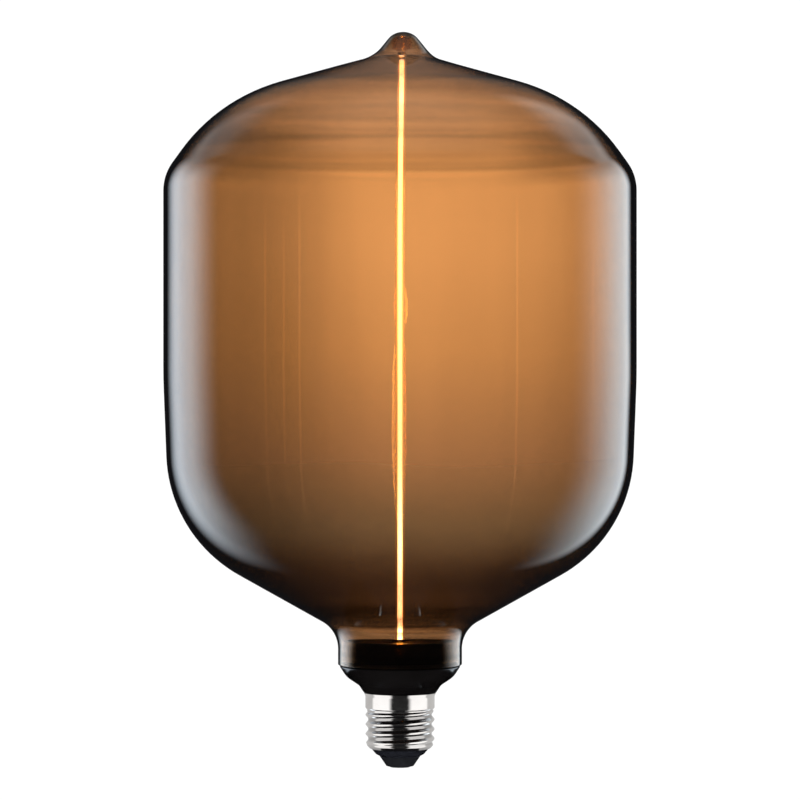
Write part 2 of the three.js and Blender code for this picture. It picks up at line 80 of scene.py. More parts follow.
# Studio light
# The room is an even white. What is mirrored in glass or metal is a dark room with soft boxes round the
# lamp, so that edges are drawn dark and the long highlights run down both sides.
room_white = 1.06
room_dark = (0.012, 0.012, 0.014)


def link(tree, source, target):
    tree.links.new(source, target)


def math_node(tree, operation, *values):
    """A Math node whose inputs are numbers or sockets. Returns its output."""
    node = tree.nodes.new("ShaderNodeMath")
    node.operation = operation
    for socket, value in zip(node.inputs, values):
        if isinstance(value, (int, float)):
            socket.default_value = value
        else:
            link(tree, value, socket)
    return node.outputs[0]


def times(tree, *factors):
    """The product of numbers or sockets, taken from left to right."""
    product = factors[0]
    for factor in factors[1:]:
        product = math_node(tree, "MULTIPLY", product, factor)
    return product


def slope_between(tree, value, low, high, start, end, shape="LINEAR"):
    """start below low, end above high, and an even slope between, or a slope of another shape."""
    node = tree.nodes.new("ShaderNodeMapRange")
    node.interpolation_type = shape
    link(tree, value, node.inputs["Value"])
    for socket, number in (("From Min", low), ("From Max", high), ("To Min", start), ("To Max", end)):
        node.inputs[socket].default_value = number
    return node.outputs["Result"]


def step_between(tree, value, low, high, start=0.0, end=1.0):
    """start below low, end above high, and a smooth step between."""
    return slope_between(tree, value, low, high, start, end, "SMOOTHSTEP")


def band(tree, value, rise, fall):
    """1 between two edges, each given as the pair of values its smooth step runs between."""
    risen = step_between(tree, value, *rise)
    fallen = step_between(tree, value, *fall)
    return math_node(tree, "SUBTRACT", risen, fallen)


# Soft boxes: the two azimuth edges (degrees right of +Y), the two elevation edges, tint and strength
soft_boxes = {
    "left": ((-84, -56), (-45, -24), (-52, -13), (5, 32), (0.88, 1.0, 1.13), 2.7),
    "right": ((28, 38), (50, 92), (-52, -13), (5, 32), (0.88, 1.0, 1.1), 2.5),
    "left fill": ((-62, -46), (-34, -20), (21, 28), (36, 52), (0.88, 1.0, 1.13), 0.3),
    "right fill": ((18, 30), (46, 62), (21, 28), (36, 52), (0.88, 1.0, 1.1), 0.6),
    "back": ((-90, -60), (60, 90), (14, 30), (50, 70), (1.0, 0.97, 0.95), 0.09),
    "top": ((-181, -180.5), (180.5, 181), (50, 80), (91, 92), (1.0, 0.98, 0.95), 0.35),
}

world = bpy.data.worlds.new("studio")
bpy.context.scene.world = world
world.use_nodes = True
sky = world.node_tree
sky.nodes.clear()
direction = sky.nodes.new("ShaderNodeTexCoord").outputs["Generated"]
axes = sky.nodes.new("ShaderNodeSeparateXYZ")
link(sky, direction, axes.inputs[0])
azimuth = math_node(sky, "DEGREES", math_node(sky, "ARCTAN2", axes.outputs["X"], axes.outputs["Y"]))
elevation = math_node(sky, "DEGREES", math_node(sky, "ARCSINE", axes.outputs["Z"]))
mirrored = None
for left_edge, right_edge, low_edge, high_edge, tint, strength in soft_boxes.values():
    across = band(sky, azimuth, left_edge, right_edge)
    upright = band(sky, elevation, low_edge, high_edge)
    level = times(sky, across, upright, strength)
    box = sky.nodes.new("ShaderNodeVectorMath")
    box.operation = "MULTIPLY_ADD"
    box.inputs[0].default_value = tint
    link(sky, level, box.inputs[1])
    box.inputs[2].default_value = room_dark
    if mirrored is not None:
        link(sky, mirrored, box.inputs[2])
    mirrored = box.outputs[0]
path = sky.nodes.new("ShaderNodeLightPath")
is_mirrored = math_node(sky, "GREATER_THAN", path.outputs["Glossy Depth"], 0.5)
white_light = sky.nodes.new("ShaderNodeBackground")
white_light.inputs["Color"].default_value = (1, 1, 1, 1)
white_light.inputs["Strength"].default_value = room_white
box_light = sky.nodes.new("ShaderNodeBackground")
link(sky, mirrored, box_light.inputs["Color"])
chosen = sky.nodes.new("ShaderNodeMixShader")
link(sky, is_mirrored, chosen.inputs[0])
link(sky, white_light.outputs[0], chosen.inputs[1])
link(sky, box_light.outputs[0], chosen.inputs[2])
link(sky, chosen.outputs[0], sky.nodes.new("ShaderNodeOutputWorld").inputs["Surface"])

# Cap reflector
# A short cylindrical card stands round the cap: white at both sides, grey behind and almost black in front.
# It gives the metal its panels. Only the shell is lit by it, and only the first reflection shows it.
card_radius = 0.03
card_low, card_high = -0.03, 0.0285
card_sides = 96
panel_start, panel_end = (93, 101), (148, 161)
panel_white, back_grey, front_grey = 1.25, 0.62, 0.02

card_turn = np.arange(card_sides + 1) * 2 * math.pi / card_sides
card_round = np.stack([card_radius * np.sin(card_turn), card_radius * np.cos(card_turn)], axis=1)
card_rings = [np.insert(card_round, 2, level, axis=1) for level in (card_low, card_high)]
card_foot = np.arange(card_sides)
card_top = card_foot + card_sides + 1
card_faces = np.stack([card_foot, card_top, card_top + 1, card_foot + 1], axis=1)
card_mesh = bpy.data.meshes.new("cap_reflector")
card_mesh.from_pydata(np.concatenate(card_rings).tolist(), [], card_faces.tolist())
card = bpy.data.objects.new("cap_reflector", card_mesh)
bpy.context.scene.collection.objects.link(card)
card.visible_camera = False
card.visible_diffuse = False
card.visible_transmission = False
card.visible_shadow = False
card_paint = bpy.data.materials.new("card_paint")
card_paint.use_nodes = True
paint = card_paint.node_tree
paint.nodes.clear()
axes = paint.nodes.new("ShaderNodeSeparateXYZ")
link(paint, paint.nodes.new("ShaderNodeTexCoord").outputs["Object"], axes.inputs[0])
around = math_node(paint, "DEGREES", math_node(paint, "ARCTAN2", axes.outputs["X"], axes.outputs["Y"]))
around = math_node(paint, "ABSOLUTE", around)
side_panel = band(paint, around, panel_start, panel_end)
back_panel = step_between(paint, around, *panel_start, back_grey, front_grey)
panel_glow = paint.nodes.new("ShaderNodeEmission")
panels = math_node(paint, "MULTIPLY_ADD", side_panel, panel_white, back_panel)
link(paint, panels, panel_glow.inputs["Strength"])
ray = paint.nodes.new("ShaderNodeLightPath")
inner_side = paint.nodes.new("ShaderNodeNewGeometry").outputs["Backfacing"]
seen = math_node(paint, "LESS_THAN", ray.outputs["Glossy Depth"], 1.5)
card_mix = paint.nodes.new("ShaderNodeMixShader")
link(paint, times(paint, seen, inner_side), card_mix.inputs[0])
link(paint, paint.nodes.new("ShaderNodeBsdfTransparent").outputs[0], card_mix.inputs[1])
link(paint, panel_glow.outputs[0], card_mix.inputs[2])
link(paint, card_mix.outputs[0], paint.nodes.new("ShaderNodeOutputMaterial").inputs["Surface"])
card_mesh.materials.append(card_paint)
card_sees = bpy.data.collections.new("lit_by_cap_reflector")
card.light_linking.receiver_collection = card_sees

# Floor
# A plain white floor well below the lamp, which hangs free as it does in its lampholder.
floor_level = -0.5
floor_reach = 30

floor_mesh = bpy.data.meshes.new("floor")
floor_corners = np.array([(-1, -1), (1, -1), (1, 1), (-1, 1)]) * floor_reach
floor_mesh.from_pydata([(x, y, floor_level) for x, y in floor_corners], [], [(0, 1, 2, 3)])
floor = bpy.data.objects.new("floor", floor_mesh)
bpy.context.scene.collection.objects.link(floor)
floor_paint = bpy.data.materials.new("floor_paint")
floor_paint.use_nodes = True
paint = floor_paint.node_tree
paint.nodes["Principled BSDF"].inputs["Base Color"].default_value = (0.97, 0.97, 0.97, 1)
paint.nodes["Principled BSDF"].inputs["Specular IOR Level"].default_value = 0
paint.nodes["Principled BSDF"].inputs["Roughness"].default_value = 0.9
unseen = paint.nodes.new("ShaderNodeBsdfTransparent")
floor_path = paint.nodes.new("ShaderNodeLightPath")
floor_mix = paint.nodes.new("ShaderNodeMixShader")
link(paint, math_node(paint, "GREATER_THAN", floor_path.outputs["Glossy Depth"], 0.5), floor_mix.inputs[0])
link(paint, paint.nodes["Principled BSDF"].outputs[0], floor_mix.inputs[1])
link(paint, unseen.outputs[0], floor_mix.inputs[2])
link(paint, floor_mix.outputs[0], paint.nodes["Material Output"].inputs["Surface"])
floor_mesh.materials.append(floor_paint)

# Glass envelope
# Blown soda-lime glass with a brown smoke tint that deepens towards the neck. The tank is blown in a mould,
# the tip is melted off to a nub, and the neck is cracked off and fire-polished.
mm = 0.001
glass_wall = 1.2 * mm
body_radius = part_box("glass_envelope")[1].x
neck_radius = 23.6 * mm
neck_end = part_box("glass_envelope")[0].z


def rounded(corners, closed=False, turn=3.0):
    """Corners (radius, height, fillet) as an outline in metres. Each filleted corner gives way to the arc
    that touches both its edges: it starts fillet * tan(angle / 2) before the corner, and turns about the
    point one fillet to the side until it lies along the next edge, in steps of turn degrees or less."""
    spots = np.array([corner[:2] for corner in corners], float)
    fillets = np.array([corner[2] if len(corner) > 2 else 0 for corner in corners], float)
    arriving = spots - np.roll(spots, 1, axis=0)
    leaving = np.roll(spots, -1, axis=0) - spots
    arriving /= np.maximum(np.linalg.norm(arriving, axis=1, keepdims=True), 1e-12)
    leaving /= np.maximum(np.linalg.norm(leaving, axis=1, keepdims=True), 1e-12)
    cross = arriving[:, 0] * leaving[:, 1] - arriving[:, 1] * leaving[:, 0]
    angles = np.arctan2(cross, (arriving * leaving).sum(axis=1))
    if not closed:
        fillets[[0, -1]] = 0
    outline = []
    for spot, fillet, forward, angle in zip(spots, fillets, arriving, angles):
        if fillet == 0 or abs(angle) < 1e-6:
            outline.append(spot[None])
            continue
        start = spot - forward * fillet * math.tan(abs(angle) / 2)
        centre = start + math.copysign(fillet, angle) * np.array([-forward[1], forward[0]])
        steps = max(2, math.ceil(abs(math.degrees(angle)) / turn))
        swing = np.linspace(0, angle, steps + 1)
        arm = start - centre
        x = arm[0] * np.cos(swing) - arm[1] * np.sin(swing)
        y = arm[0] * np.sin(swing) + arm[1] * np.cos(swing)
        outline.append(centre + np.stack([x, y], axis=1))
    return np.concatenate(outline)


def inset(corners, wall):
    """The corners of the same chain moved wall to its left: each goes along the sum of its two edges'
    normals, as far as keeps both distances, and its fillet shrinks or grows by wall."""
    spots = np.array([corner[:2] for corner in corners], float)
    fillets = np.array([corner[2] if len(corner) > 2 else 0 for corner in corners], float)
    edges = np.diff(spots, axis=0)
    edges /= np.linalg.norm(edges, axis=1, keepdims=True)
    normals = np.stack([-edges[:, 1], edges[:, 0]], axis=1)
    before = np.concatenate([normals[:1], normals])
    after = np.concatenate([normals, normals[-1:]])
    share = 1 + (before * after).sum(axis=1, keepdims=True)
    moved = spots + (before + after) * wall / share
    side = np.sign(before[:, 0] * after[:, 1] - before[:, 1] * after[:, 0])
    radii = np.where(fillets > 0, np.maximum(fillets - side * wall, 0), 0)
    return np.column_stack([moved, radii])


def spaced(outline, longest):
    """The outline with its long straight stretches cut into equal steps no longer than longest."""
    lengths = np.linalg.norm(np.diff(outline, axis=0), axis=1)
    counts = np.maximum(np.ceil(lengths / longest).astype(int), 1)
    edge = np.repeat(np.arange(len(counts)), counts)
    step = np.arange(counts.sum()) - np.repeat(np.cumsum(counts) - counts, counts)
    share = (step / counts[edge])[:, None]
    between = outline[edge] * (1 - share) + outline[edge + 1] * share
    return np.concatenate([between, outline[-1:]])


def new_piece(name, vertices, faces, smooth_angle=40):
    """A mesh object at the origin whose faces are smooth, except across edges sharper than smooth_angle."""
    mesh = bpy.data.meshes.new(name)
    mesh.from_pydata(vertices.tolist(), [], faces)
    mesh.update()
    mesh.shade_smooth()
    mesh.set_sharp_from_angle(angle=math.radians(smooth_angle))
    piece = bpy.data.objects.new(name, mesh)
    bpy.context.scene.collection.objects.link(piece)
    return piece


def skinned(name, grid, closed=False, smooth_angle=40):
    """A piece over a grid of points, ring after ring, each ring closed on itself. The last ring is joined to
    the first, or the first and the last are one point each, where the skin ends."""
    rings, sides = grid.shape[:2]
    number = np.arange(rings * sides).reshape(rings, sides)
    low, high = (number, np.roll(number, -1, axis=0)) if closed else (number[:-1], number[1:])
    corners = [low, np.roll(low, -1, axis=1), np.roll(high, -1, axis=1), high]
    quads = np.stack(corners, axis=-1).reshape(-1, 4)
    vertices = grid.reshape(-1, 3)
    if closed:
        return new_piece(name, vertices, quads.tolist(), smooth_angle)
    inner = quads[sides:-sides]
    first = np.stack([np.zeros(sides, int), np.roll(number[1], -1), number[1]], axis=-1)
    last = np.stack([number[-2], np.roll(number[-2], -1), np.full(sides, number[-1, 0])], axis=-1)
    keep = np.concatenate([[0], np.arange(sides, (rings - 1) * sides), [number[-1, 0]]])
    renumber = np.zeros(len(vertices), int)
    renumber[keep] = np.arange(len(keep))
    faces = [renumber[part].tolist() for part in (first, inner, last)]
    return new_piece(name, vertices[keep], faces[0] + faces[1] + faces[2], smooth_angle)


def turned(name, outline, sides=160, closed=False, swell=None, smooth_angle=40):
    """An outline of (radius, height) points turned about the axis: point i at angle a lies at
    (radius cos a, radius sin a, height). swell(angles, radii, heights) may give a new radius all over.
    The outline closes on itself, or its ends are poles on the axis."""
    angles = np.arange(sides) * 2 * math.pi / sides
    radii, heights = (np.repeat(column[:, None], sides, axis=1) for column in outline.T)
    if swell is not None:
        radii = swell(angles[None], radii, heights)
    grid = np.stack([radii * np.cos(angles), radii * np.sin(angles), heights], axis=-1)
    return skinned(name, grid, closed, smooth_angle)


def crossing(spot, slope, other, other_slope):
    """Where two lines meet, each given by a point and its slope in degrees."""
    rise, other_rise = math.tan(math.radians(slope)), math.tan(math.radians(other_slope))
    x = (other[1] - spot[1] + rise * spot[0] - other_rise * other[0]) / (rise - other_rise)
    return x, spot[1] + rise * (x - spot[0])


neck_corner = (neck_radius, neck_end + 13.2 * mm)
taper_corner = (body_radius, 148 * mm)
shoulder = (body_radius, lamp_height - 55 * mm)
nub_foot = (11.4 * mm, lamp_height - 9.6 * mm)
glass_corners = [
    (neck_radius, neck_end, 0),
    (*neck_corner, 12 * mm),
    (*crossing(neck_corner, 29.4, taper_corner, 87.8), 54 * mm),
    (*taper_corner, 250 * mm),
    (*shoulder, 18 * mm),
    (*crossing(shoulder, -54.4, nub_foot, -16.3), 68 * mm),
    (*nub_foot, 14 * mm),
    (3.6 * mm, lamp_height, 7 * mm),
    (0, lamp_height, 0),
]
outer_wall = spaced(rounded(glass_corners), 2.5 * mm)
inner_wall = spaced(rounded(inset(glass_corners, glass_wall)), 2.5 * mm)[::-1]
inner_wall[0, 0] = 0
lip_fillet = 0.5 * mm
lip = rounded([inner_wall[-2], (*inner_wall[-1], lip_fillet), (*outer_wall[0], lip_fillet), outer_wall[1]])
glass_outline = np.concatenate([inner_wall[:-1], lip[1:-1], outer_wall[1:]])
inner_count = len(inner_wall) - 1


def blown(angles, radii, heights):
    """The inner wall's radius plus sine waves of up to a quarter of a millimetre, as a blown wall has: six
    to the turn, whose phase drifts with the height and swings over in one ring, and fainter ones that wind
    up the tank. They are full on the +Y side, where they double the filament's image, and fade to nothing
    at the -Y side, in the neck and at the tip."""
    drift = 1.9 * np.exp(-(((heights - 178 * mm) / (13 * mm)) ** 2))
    drift -= 0.9 * np.clip((210 * mm - heights) / (25 * mm), 0, 1)
    waves = (
        0.25 * np.sin(6 * angles + drift - math.pi / 2)
        + 0.02 * np.sin(5 * angles - 67 * heights + 1.3)
        + 0.01 * np.sin(8 * angles + 119 * heights + 4.1)
    )
    fade = np.clip((heights - 60 * mm) / (40 * mm), 0, 1) * np.clip(radii / (40 * mm), 0, 1)
    ripple = mm * waves * fade * (0.5 + 0.5 * np.sin(angles))
    ripple[inner_count:] = 0
    return radii + ripple


def leant(piece, low, high, shift):
    """The piece with its top moved aside: a point at height z has x + shift * t * t * (3 - 2 * t), where t
    runs from 0 at height low to 1 at height high."""
    spots = np.empty(len(piece.data.vertices) * 3, np.float32)
    piece.data.vertices.foreach_get("co", spots)
    t = np.clip((spots[2::3] - low) / (high - low), 0, 1)
    spots[0::3] += shift * t * t * (3 - 2 * t)
    piece.data.vertices.foreach_set("co", spots)
    piece.data.update()
    return piece


# The tip is melted off by hand, so the nub stands a little to one side
nub_lean = (lamp_height - 14 * mm, lamp_height - 6 * mm, 1.2 * mm)
glass = turned("glass_tank", glass_outline, sides=192, swell=blown)
leant(glass, *nub_lean)


def surface(name, **plain):
    """A material with a Principled surface whose plain values are set, its node tree and that node."""
    material = bpy.data.materials.new(name)
    material.use_nodes = True
    shader = material.node_tree.nodes["Principled BSDF"]
    for socket, value in plain.items():
        shader.inputs[socket.replace("_", " ").title().replace("Ior", "IOR")].default_value = value
    return material, material.node_tree, shader


def object_place(tree):
    """The point's place on the piece, in metres, and its three parts."""
    place = tree.nodes.new("ShaderNodeTexCoord").outputs["Object"]
    parts = tree.nodes.new("ShaderNodeSeparateXYZ")
    link(tree, place, parts.inputs[0])
    return place, parts.outputs["X"], parts.outputs["Y"], parts.outputs["Z"]


def colour_ramp(tree, value, stops):
    """Colours that change along value, which runs from 0 to 1, each stop given as place and colour."""
    node = tree.nodes.new("ShaderNodeValToRGB")
    link(tree, value, node.inputs[0])
    places = sorted(stops)
    for i, place in enumerate(places):
        element = node.color_ramp.elements[i] if i < 2 else node.color_ramp.elements.new(place)
        element.position = place
        element.color = (*stops[place], 1)
    return node.outputs["Color"]


def scaled(tree, colour, factor):
    """The colour times a factor."""
    node = tree.nodes.new("ShaderNodeVectorMath")
    node.operation = "SCALE"
    link(tree, colour, node.inputs[0])
    link(tree, factor, node.inputs["Scale"])
    return node.outputs[0]


def noise(tree, place, scale, detail=2.0, stretch=(1, 1, 1)):
    """Soft noise from 0 to 1 with scale cells in a metre, stretched along the axes."""
    mapping = tree.nodes.new("ShaderNodeMapping")
    mapping.inputs["Scale"].default_value = stretch
    link(tree, place, mapping.inputs["Vector"])
    node = tree.nodes.new("ShaderNodeTexNoise")
    node.inputs["Scale"].default_value = scale
    node.inputs["Detail"].default_value = detail
    link(tree, mapping.outputs[0], node.inputs["Vector"])
    return node.outputs["Fac"]


def bumped(tree, shader, height, strength, distance):
    """Feeds the shader's normal from a bump of the given height mask."""
    bump = tree.nodes.new("ShaderNodeBump")
    bump.inputs["Strength"].default_value = strength
    bump.inputs["Distance"].default_value = distance
    link(tree, height, bump.inputs["Height"])
    link(tree, bump.outputs[0], shader.inputs["Normal"])


def where(tree, factor, mask):
    """The factor where the mask is 1, and 1 where it is 0."""
    return math_node(tree, "MULTIPLY_ADD", math_node(tree, "SUBTRACT", factor, 1.0), mask, 1.0)


def centred(tree, place, scale, detail, stretch):
    """The same noise from -0.5 to 0.5."""
    return math_node(tree, "SUBTRACT", noise(tree, place, scale, detail, stretch), 0.5)


# Smoke tint from the neck's end (0) to the tip (1): brown, almost black over the bowl's foot, then amber
smoke_by_height = {
    0.0: (0.82, 0.57, 0.35),
    0.04: (0.64, 0.43, 0.265),
    0.08: (0.36, 0.22, 0.12),
    0.13: (0.30, 0.185, 0.11),
    0.21: (0.44, 0.315, 0.20),
    0.33: (0.625, 0.405, 0.24),
    0.50: (0.82, 0.522, 0.28),
    0.66: (0.92, 0.588, 0.318),
    0.80: (0.92, 0.587, 0.318),
    0.90: (0.86, 0.57, 0.35),
    0.955: (0.80, 0.54, 0.35),
    0.97: (0.50, 0.33, 0.20),
    1.0: (0.42, 0.27, 0.16),
}
cloud_reach = 0.05
edge_darkening = 0.5

smoked, tree, shader = surface("smoked_glass", transmission_weight=1.0, roughness=0.0, ior=1.5)
place, x, y, z = object_place(tree)
rise = math_node(tree, "DIVIDE", math_node(tree, "SUBTRACT", z, neck_end), lamp_height - neck_end)
cloud = centred(tree, place, 16, 3, (1, 1, 0.35))
tint = colour_ramp(tree, math_node(tree, "MULTIPLY_ADD", cloud, cloud_reach, rise), smoke_by_height)

# Seen at a slant the tank is darker, and it is darker on its left side than on its right. The dome takes a
# fifth of this and the nub most of it, and the dome's flanks carry painted shade of their own
facing = tree.nodes.new("ShaderNodeLayerWeight")
facing.inputs["Blend"].default_value = 0.5
slant = facing.outputs["Facing"]
thickness_and_painted_shade = times(
    tree,
    math_node(tree, "MULTIPLY_ADD", slant, -edge_darkening, 1.0),
    step_between(tree, slant, 0.33, 0.73, 1.0, 0.33),
    step_between(tree, x, -62 * mm, -2 * mm, 0.69, 1.0),
    step_between(tree, x, 40 * mm, 80 * mm, 1.0, 0.93),
)
taken = step_between(tree, z, 220 * mm, 240 * mm, 1.0, 0.2)
taken = math_node(tree, "ADD", taken, step_between(tree, z, 266 * mm, 272 * mm, 0.0, 0.7))
taken = math_node(tree, "SUBTRACT", taken, step_between(tree, z, 70 * mm, 92 * mm, 0.17, 0.0))
thickness_and_painted_shade = where(tree, thickness_and_painted_shade, taken)
# Painted shade: the dome's left flank darkens to 0.62 and its right flank to 0.7 towards their edges
left_flank_shade = band(tree, z, (224 * mm, 233 * mm), (244 * mm, 254 * mm))
right_flank_shade = band(tree, z, (224 * mm, 231 * mm), (240 * mm, 244 * mm))
thickness_and_painted_shade = times(
    tree,
    thickness_and_painted_shade,
    where(tree, step_between(tree, x, -72 * mm, -12 * mm, 0.62, 1.0), left_flank_shade),
    where(tree, step_between(tree, x, 34 * mm, 64 * mm, 1.0, 0.7), right_flank_shade),
)

# Dark rings round the tank: foot and top edge in millimetres, and how much darker each one is
rings = (
    (55.6, 59.6, 0.45),
    (233.2, 237.0, 0.1),
    (233.4, 246.9, 0.22),
    (252.6, 256.0, 0.06),
    (266.9, 268.5, 0.45),
)
ring_blur = 1.3
for foot, top, depth in rings:
    edges = [((height - ring_blur) * mm, (height + ring_blur) * mm) for height in (foot, top)]
    thickness_and_painted_shade = times(tree, thickness_and_painted_shade, where(tree, 1 - depth, band(tree, z, *edges)))

# Fine level streaks across the dome and the neck's foot are painted reflection; faint drawn ones run up the
# whole tank
reflected_streak_depth, neck_reflected_streaks, drawn_depth = 0.36, 6.5, 0.14
reflected_streaks = centred(tree, place, 330, 4, (0.035, 0.035, 1))
on_dome = step_between(tree, z, 222 * mm, 236 * mm)
in_neck = step_between(tree, z, 60 * mm, 67 * mm, neck_reflected_streaks, 0.0)
reflected_streaks = times(tree, reflected_streaks, math_node(tree, "ADD", on_dome, in_neck))
drawn = centred(tree, place, 55, 2, (1, 1, 0.1))
thickness_and_painted_shade = times(
    tree,
    thickness_and_painted_shade,
    math_node(tree, "MULTIPLY_ADD", reflected_streaks, reflected_streak_depth, 1.0),
    math_node(tree, "MULTIPLY_ADD", drawn, drawn_depth, 1.0),
)

# A few upright lines, at degrees right of the middle, let more light through
line_blur, line_gain = 0.25, 0.3
line_length = band(tree, z, (70 * mm, 110 * mm), (190 * mm, 222 * mm))
bearing = math_node(tree, "DEGREES", math_node(tree, "ARCTAN2", x, times(tree, y, -1.0)))
for line in (-32.7, -23.6, 27.9, 121.0, -148.0):
    mark = band(tree, bearing, (line - line_blur, line), (line, line + line_blur))
    mark = times(tree, mark, line_length)
    thickness_and_painted_shade = times(tree, thickness_and_painted_shade, math_node(tree, "MULTIPLY_ADD", mark, line_gain, 1.0))
link(tree, scaled(tree, tint, thickness_and_painted_shade), shader.inputs["Base Color"])
glass.data.materials.append(smoked)
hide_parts("glass_envelope")
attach(glass, "root")

# Filament tube
# A thin clear borosilicate tube that keeps the flexible filament straight. Its top is melted to a flattened
# ball that stands in the nub, and its open foot is held by the grommet.
tube_low, tube_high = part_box("filament_tube")
tube_radius = 1.8 * mm
bore_radius = 1.4 * mm
ball_radius = tube_high.x
ball_foot = tube_high.z - 6.4 * mm
bore_top = ball_foot - 1 * mm
tube_outline = rounded(
    [
        (0, bore_top),
        (bore_radius, bore_top, 1.2 * mm),
        (bore_radius, tube_low.z, 0.12 * mm),
        (tube_radius, tube_low.z, 0.12 * mm),
        (tube_radius, ball_foot, 0.6 * mm),
        (ball_radius, ball_foot + 0.9 * mm, 0.6 * mm),
        (ball_radius, tube_high.z - 2.2 * mm, 2.4 * mm),
        (1.9 * mm, tube_high.z, 1.6 * mm),
        (0, tube_high.z),
    ],
    turn=6,
)
tube = turned("clear_filament_tube", spaced(tube_outline, 6 * mm), sides=64)
tube_lean = (200 * mm, tube_high.z, 0.7 * mm)
leant(tube, *tube_lean)
clear, tree, shader = surface("clear_glass", transmission_weight=1.0, roughness=0.0, ior=1.47)
place, *_, z = object_place(tree)
seeds = noise(tree, place, 240, 2, stretch=(1, 1, 0.2))
clean = colour_ramp(tree, seeds, {0.3: (0.97, 0.965, 0.95), 0.75: (1.0, 0.995, 0.985)})
burnt = colour_ramp(tree, seeds, {0.3: (0.66, 0.40, 0.18), 0.75: (0.78, 0.50, 0.24)})
tint = tree.nodes.new("ShaderNodeMix")
tint.data_type = "RGBA"
link(tree, step_between(tree, z, bore_top - 0.5 * mm, ball_foot + 1.5 * mm), tint.inputs["Factor"])
link(tree, clean, tint.inputs["A"])
link(tree, burnt, tint.inputs["B"])
link(tree, tint.outputs["Result"], shader.inputs["Base Color"])

# The wall carries some of the filament's light, which is painted on as an orange glow along either side
painted_glow_colour = (1.0, 0.36, 0.05)
painted_glow_strength = 0.8
slant = tree.nodes.new("ShaderNodeLayerWeight")
slant.inputs["Blend"].default_value = 0.5
painted_glow = step_between(tree, slant.outputs["Facing"], 0.35, 0.9)
painted_glow = times(tree, painted_glow, step_between(tree, z, bore_top, bore_top - 4 * mm, 0.15, 1.0))
link(tree, colour_ramp(tree, painted_glow, {0.0: (0, 0, 0), 1.0: painted_glow_colour}), shader.inputs["Emission Color"])
shader.inputs["Emission Strength"].default_value = painted_glow_strength
tube.data.materials.append(clear)
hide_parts("filament_tube")
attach(tube, "root")

# LED filament
# A flexible copper strip with a row of tiny LED chips, coated all round in yellow phosphor silicone. It
# glows pale yellow over the chips and orange along its edges, where only the phosphor is seen.
strip_low, strip_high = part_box("led_filament")
strip_half_width = strip_high.x
strip_half_depth = strip_high.y
chip_pitch = 1.7 * mm
sway = 0.08 * mm


def filament_skin(name, rows=520, around=40):
    """A skin over the strip: at height z and angle a its point is (width * cos a, depth * sin a), with the
    cosine and the sine to the power 0.8, which squares the ellipse off a little. A cosine of z draws it in
    at each chip's middle, and a quarter ellipse closes both ends. Its middle sways by sines of z."""
    z = np.linspace(strip_low.z, strip_high.z, rows)[:, None]
    a = (np.arange(around) * 2 * math.pi / around)[None]
    end = np.minimum(z - strip_low.z, strip_high.z - z) / (0.5 * mm)
    close = np.sqrt(np.clip(1 - (1 - np.clip(end, 0, 1)) ** 2, 0, 1))
    chip = 1 - 0.03 * (0.5 + 0.5 * np.cos(2 * math.pi * z / chip_pitch))
    x = strip_half_width * close * chip * np.sign(np.cos(a)) * np.abs(np.cos(a)) ** 0.8
    y = strip_half_depth * close * chip * np.sign(np.sin(a)) * np.abs(np.sin(a)) ** 0.8
    x = x + sway * (0.6 * np.sin(95 * z + 0.8) + 0.4 * np.sin(230 * z + 2.0))
    y = y + sway * 0.5 * np.sin(130 * z)
    grid = np.stack([x, y, np.broadcast_to(z, x.shape)], axis=-1)
    return skinned(name, grid, smooth_angle=60)


filament = filament_skin("lit_filament")
leant(filament, *tube_lean)
glow_strength = 3.2
mirrored_glow = (6.0, 2.9, 0.5, 1)

lit, tree, shader = surface("lit_phosphor", roughness=0.55)
place, x, _, z = object_place(tree)
lean_low, lean_high, lean = tube_lean
middle = step_between(tree, z, lean_low, lean_high, 0.0, lean)
aside = math_node(tree, "ABSOLUTE", math_node(tree, "SUBTRACT", x, middle))
aside = math_node(tree, "DIVIDE", aside, strip_half_width)
wave = math_node(tree, "COSINE", times(tree, z, 2 * math.pi / chip_pitch))
glow = colour_ramp(tree, math_node(tree, "MULTIPLY_ADD", wave, 0.03, aside), {
    0.0: (1.0, 0.73, 0.60),
    0.66: (1.0, 0.70, 0.52),
    0.84: (0.95, 0.46, 0.18),
    0.96: (0.6, 0.22, 0.03),
    1.0: (0.4, 0.12, 0.01),
})
# It shines more strongly behind the darker foot of the tank and the dome, and its mirror images are orange
raised = step_between(tree, z, 55 * mm, 125 * mm, 3.0, 0.0)
raised = math_node(tree, "ADD", raised, step_between(tree, z, 238 * mm, 256 * mm, 1.0, 1.3))
path = tree.nodes.new("ShaderNodeLightPath")
bounced = math_node(tree, "ADD", path.outputs["Glossy Depth"], path.outputs["Diffuse Depth"])
image = tree.nodes.new("ShaderNodeMix")
image.data_type = "RGBA"
link(tree, math_node(tree, "GREATER_THAN", bounced, 0.5), image.inputs["Factor"])
link(tree, scaled(tree, glow, raised), image.inputs["A"])
image.inputs["B"].default_value = mirrored_glow
link(tree, image.outputs["Result"], shader.inputs["Emission Color"])
shader.inputs["Emission Strength"].default_value = glow_strength
coat = colour_ramp(tree, noise(tree, place, 900, 2), {0.3: (0.93, 0.66, 0.17), 0.7: (0.99, 0.77, 0.27)})
link(tree, coat, shader.inputs["Base Color"])
filament.data.materials.append(lit)
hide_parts("led_filament")
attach(filament, "root")

